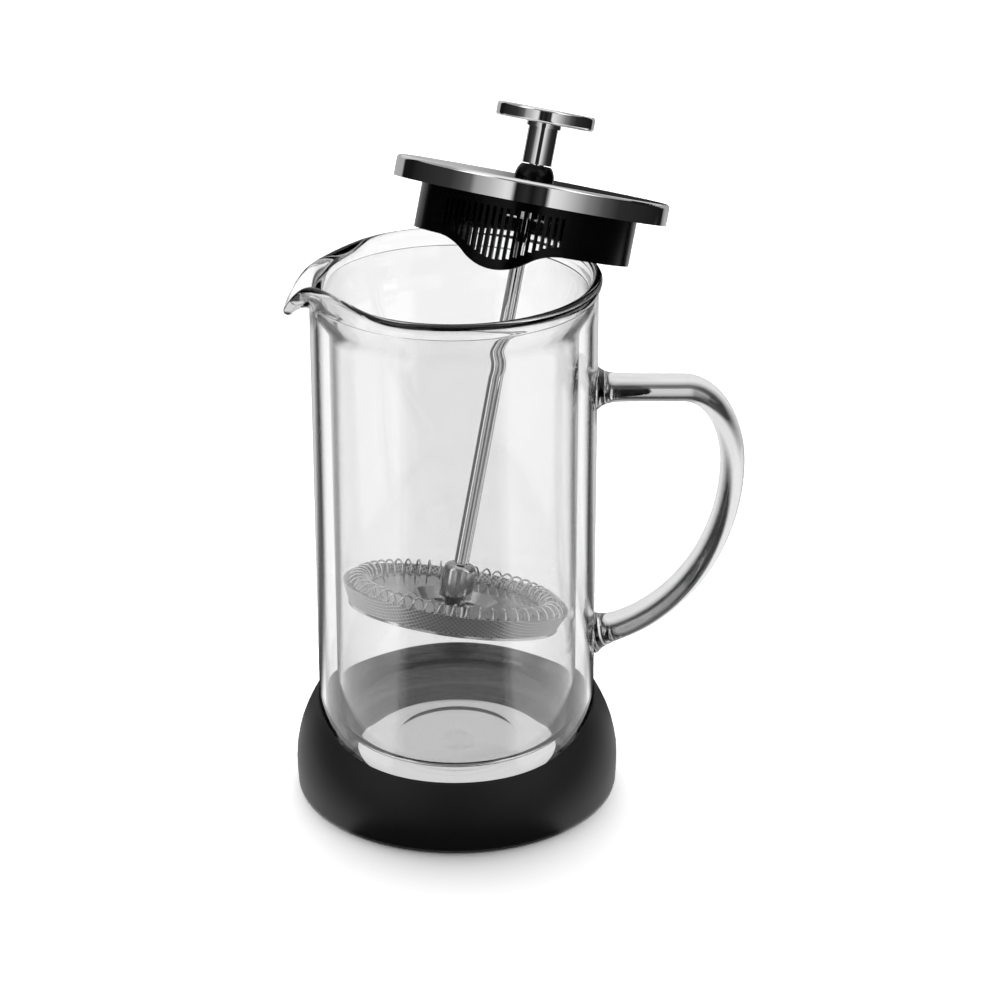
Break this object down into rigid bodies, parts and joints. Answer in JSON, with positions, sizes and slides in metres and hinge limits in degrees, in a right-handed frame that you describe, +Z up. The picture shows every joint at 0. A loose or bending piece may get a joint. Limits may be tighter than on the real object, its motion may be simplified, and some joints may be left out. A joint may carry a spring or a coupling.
{
  "type": "french press",
  "caption": "Double-walled glass coffee press with a pulled spout, glass handle and black foot, its steel plunger leaning in the carafe with the lid hooked over the rim.",
  "frame": {"origin": "middle of the underside of the foot, on the surface that the press stands on", "axes": "+Z up, handle on +X, spout on -X, the viewer of the picture on -Y"},
  "size_m": [0.1375, 0.1258, 0.2082],
  "materials": {
    "clear_glass": "clear, polished",
    "clear_plug": "translucent silicone",
    "black_matte": "soft matte",
    "black_gloss": "glossy",
    "polished_steel": "mirror polish",
    "spring_steel": "bright drawn wire",
    "mesh_steel": "fine woven wire"
  },
  "bodies": {
    "carafe": {"outer_glass": "clear_glass", "inner_glass": "clear_glass", "glass_handle": "clear_glass", "base_foot": "black_matte", "vent_plug": "clear_plug"},
    "plunger": {"knob_disc": "polished_steel", "knob_stem": "polished_steel", "plunger_rod": "polished_steel", "filter_hub": "polished_steel", "mesh_screen": "mesh_steel", "spring_plate": "polished_steel", "coil_spring": "spring_steel", "bottom_plate": "polished_steel", "screw_washer": "polished_steel", "clamp_screw": "polished_steel"},
    "lid": {"lid_cap": "polished_steel", "lid_insert": "black_gloss", "lid_bush": "black_gloss", "bush_nut": "polished_steel"}
  },
  "joints": [
    {"name": "plunger_lift", "type": "slide", "parent": "carafe", "child": "plunger", "axis": [0, 0, 1], "range_m": [0, 0.18]},
    {"name": "lid_slide", "type": "slide", "parent": "plunger", "child": "lid", "axis": [0.186, 0.2831, 0.9409], "range_m": [-0.09, 0]}
  ],
  "couplings": [
    {"joint": "lid_slide", "follows": "plunger_lift", "ratio": -0.5}
  ]
}
